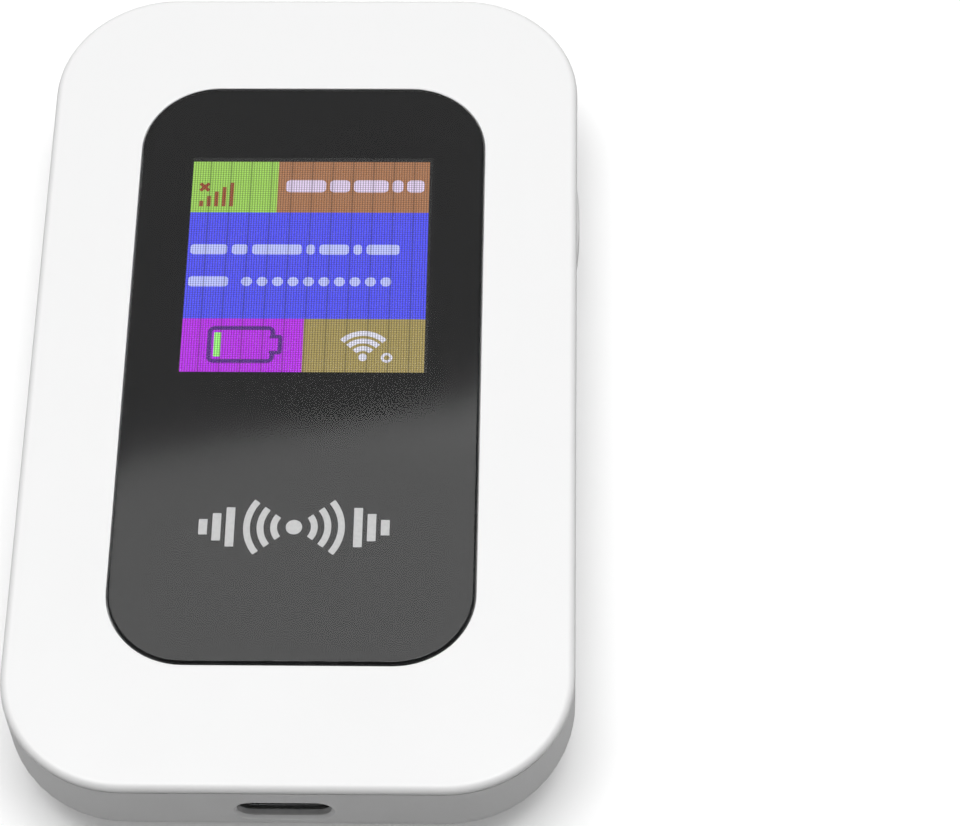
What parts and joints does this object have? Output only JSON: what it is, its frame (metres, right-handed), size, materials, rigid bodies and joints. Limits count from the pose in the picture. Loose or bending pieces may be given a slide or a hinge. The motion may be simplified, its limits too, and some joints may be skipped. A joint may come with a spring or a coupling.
{
  "type": "mobile hotspot",
  "caption": "Pocket wireless router: rounded white case, gloss black front panel with a small colour display, side power button, USB-C inlet, and a lift-off back over a removable battery.",
  "frame": {"origin": "on the table, under the middle of the case, which lies on its back", "axes": "+Z out of the display, +Y towards the display's upper edge, +X to the right of someone who looks at the display; the power button is on +X and the USB-C inlet on -Y"},
  "size_m": [0.0583, 0.098, 0.0128],
  "materials": {
    "white_case": "satin moulded ABS/PC, fine even surface",
    "panel_acrylic": "clear polished acrylic sheet",
    "black_print": "gloss black screen print",
    "silver_print": "silver ink screen print",
    "black_foam": "closed-cell foam and adhesive tape",
    "display_glass": "polarised display glass",
    "white_light_guide": "white moulded light-guide frame",
    "amber_film": "polyimide film",
    "ivory_nylon": "moulded nylon",
    "green_board": "solder-masked fibreglass laminate",
    "tinned_steel": "tin-plated pressed steel",
    "chip_epoxy": "moulded epoxy",
    "ceramic_chip": "fired ceramic with tinned ends",
    "black_nylon": "moulded black nylon",
    "gold_contact": "gold-plated copper alloy",
    "copper_film": "copper-clad flexible film",
    "zinc_steel": "zinc-plated steel",
    "white_paper": "coated paper, blank",
    "cell_foil": "aluminium cell can",
    "white_sleeve": "shrink film"
  },
  "bodies": {
    "housing": {"front_cover": "white_case", "lens_panel": "panel_acrylic", "lens_print": "black_print", "lens_adhesive": "black_foam", "lens_emblem": "silver_print", "lcd_gasket": "black_foam", "lcd_glass": "display_glass", "lcd_backlight": "white_light_guide", "lcd_pad": "black_foam", "lcd_flex": "amber_film", "lcd_connector": "ivory_nylon", "main_board": "green_board", "baseband_shield": "tinned_steel", "rf_shield": "tinned_steel", "wifi_shield": "tinned_steel", "board_chips": "chip_epoxy", "board_passives": "ceramic_chip", "usb_shell": "tinned_steel", "usb_tongue": "black_nylon", "usb_contacts": "gold_contact", "sim_base": "black_nylon", "sim_cage": "tinned_steel", "sim_contacts": "gold_contact", "battery_connector": "black_nylon", "battery_springs": "gold_contact", "power_switch": "tinned_steel", "reset_switch": "tinned_steel", "middle_frame": "white_case", "main_antenna": "copper_film", "diversity_antenna": "copper_film", "wifi_antenna": "copper_film", "antenna_clips": "gold_contact", "case_screws": "zinc_steel", "bay_label": "white_paper"},
    "power_button": {"power_button": "white_case", "power_plunger": "black_nylon"},
    "reset_plunger": {"reset_plunger": "black_nylon"},
    "battery": {"battery_cell": "cell_foil", "battery_sleeve": "white_sleeve", "battery_cap": "black_nylon", "battery_terminals": "gold_contact"},
    "back_cover": {"back_cover": "white_case", "cover_foam": "black_foam"}
  },
  "joints": [
    {"name": "power_button_press", "type": "slide", "parent": "housing", "child": "power_button", "axis": [-1, 0, 0], "range_m": [0, 0.0003], "stiffness_N_per_m": 3000},
    {"name": "reset_press", "type": "slide", "parent": "housing", "child": "reset_plunger", "axis": [0, 0, 1], "range_m": [0, 0.00025], "stiffness_N_per_m": 3000},
    {"name": "case_lift", "type": "slide", "parent": "back_cover", "child": "housing", "axis": [0, 0, 1], "range_m": [0, 0.03]},
    {"name": "battery_lift", "type": "slide", "parent": "back_cover", "child": "battery", "axis": [0, 0, 1], "range_m": [0, 0.012]}
  ],
  "couplings": [
    {"joint": "battery_lift", "follows": "case_lift", "ratio": 0.4}
  ]
}
